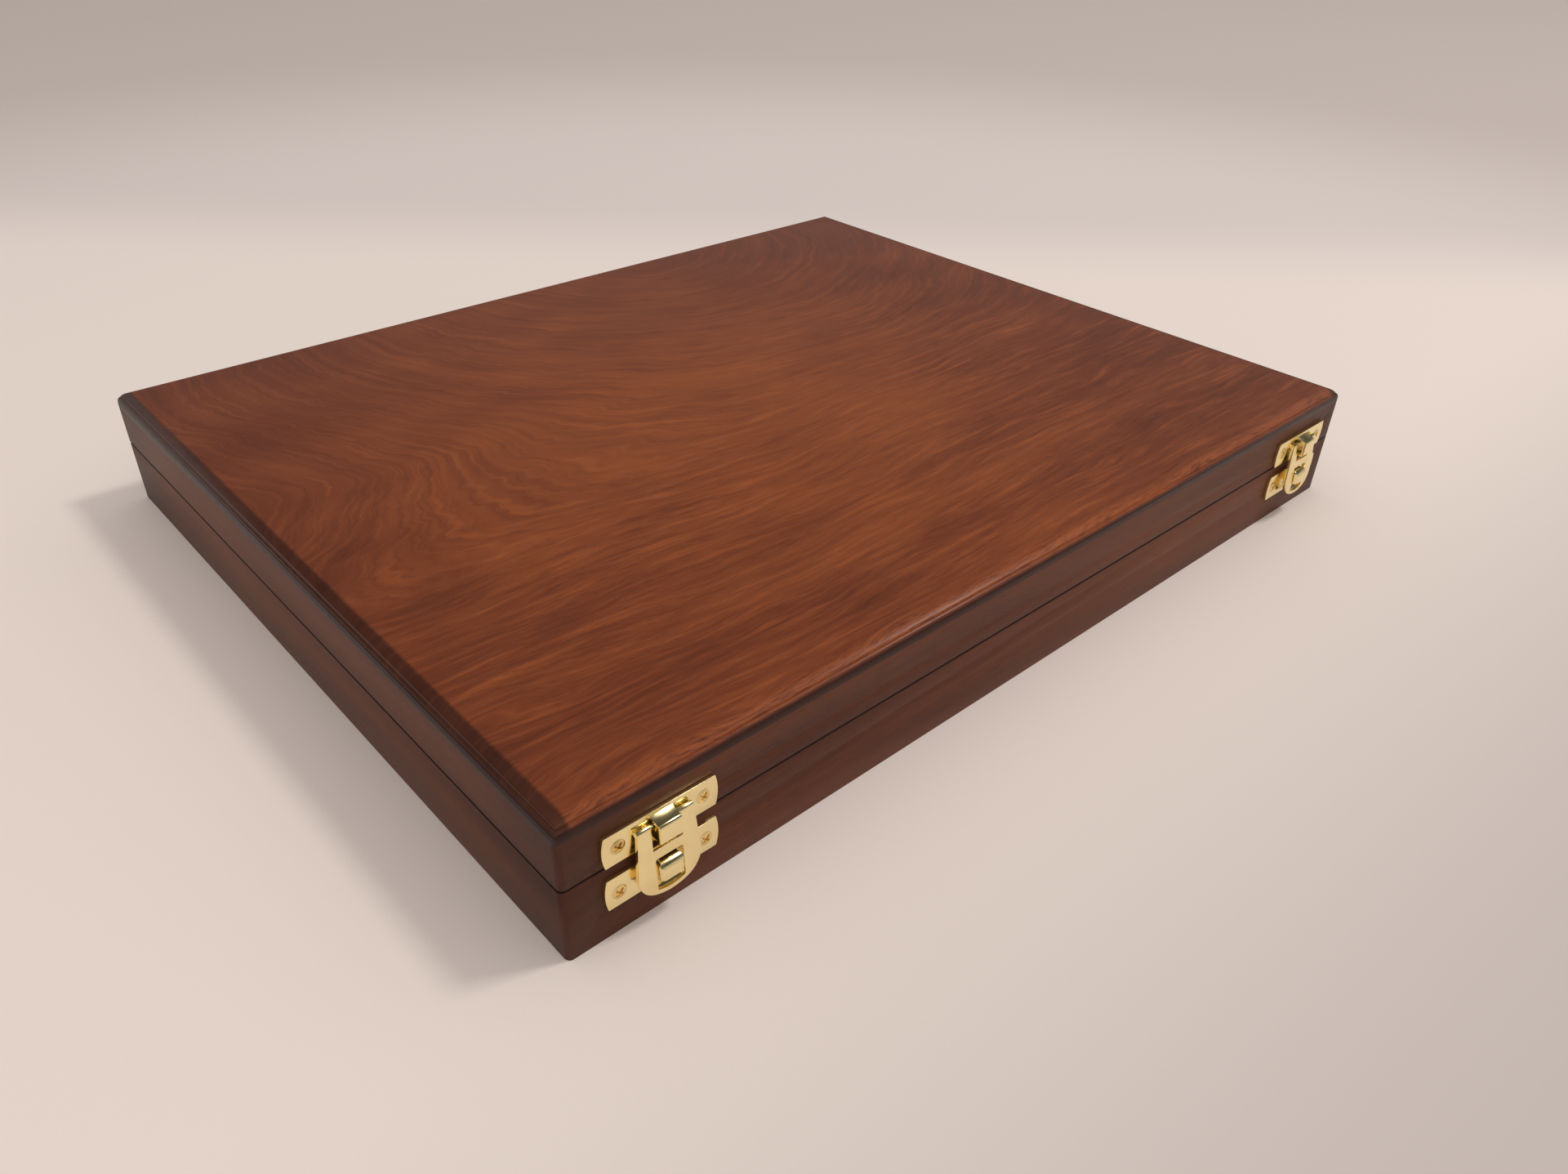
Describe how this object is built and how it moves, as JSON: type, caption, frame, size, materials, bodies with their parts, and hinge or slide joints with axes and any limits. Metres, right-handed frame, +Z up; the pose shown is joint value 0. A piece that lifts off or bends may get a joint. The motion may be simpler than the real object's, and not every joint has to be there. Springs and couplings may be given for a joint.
{
  "type": "mancala board",
  "caption": "Flat wooden folding mancala case with a moulded lid and brass hasp catches; it opens into two carved trays of long pits with a store each.",
  "frame": {"origin": "centre of the case's flat underside", "axes": "+X along the long side that has the catches, +Y from the catches to the hinges, +Z up; the case is closed"},
  "size_m": [0.31, 0.2571, 0.0374],
  "materials": {
    "case_wood": "satin",
    "lid_top_wood": "satin",
    "plywood": "satin",
    "tray_wood": "satin",
    "seed_wood": "satin",
    "brass": "polished",
    "screw_brass": "polished"
  },
  "bodies": {
    "base": {"base_front_rail": "case_wood", "base_back_rail": "case_wood", "base_left_rail": "case_wood", "base_right_rail": "case_wood", "base_panel": "plywood", "base_tray": "tray_wood", "pit_seeds": "seed_wood", "store_seeds": "seed_wood", "left_hinge_base_leaf": "brass", "right_hinge_base_leaf": "brass", "left_hinge_pin": "brass", "right_hinge_pin": "brass", "hinge_base_screws": "screw_brass", "left_catch_plate": "brass", "right_catch_plate": "brass", "catch_plate_screws": "screw_brass"},
    "lid": {"lid_front_rail": "case_wood", "lid_back_rail": "case_wood", "lid_left_rail": "case_wood", "lid_right_rail": "case_wood", "lid_panel": "lid_top_wood", "lid_tray": "tray_wood", "left_hinge_lid_leaf": "brass", "right_hinge_lid_leaf": "brass", "hinge_lid_screws": "screw_brass", "left_hasp_plate": "brass", "right_hasp_plate": "brass", "hasp_plate_screws": "screw_brass"},
    "left_hasp": {"left_hasp": "brass"},
    "right_hasp": {"right_hasp": "brass"}
  },
  "joints": [
    {"name": "lid_hinge", "type": "hinge", "parent": "base", "child": "lid", "pos_m": [0, 0.1254, 0.0202], "axis": [-1, 0, 0], "range_deg": [0, 180]},
    {"name": "left_hasp_flip", "type": "hinge", "parent": "lid", "child": "left_hasp", "pos_m": [-0.1309, -0.1268, 0.0262], "axis": [-1, 0, 0], "range_deg": [0, 130]},
    {"name": "right_hasp_flip", "type": "hinge", "parent": "lid", "child": "right_hasp", "pos_m": [0.1309, -0.1268, 0.0262], "axis": [-1, 0, 0], "range_deg": [0, 130]}
  ]
}
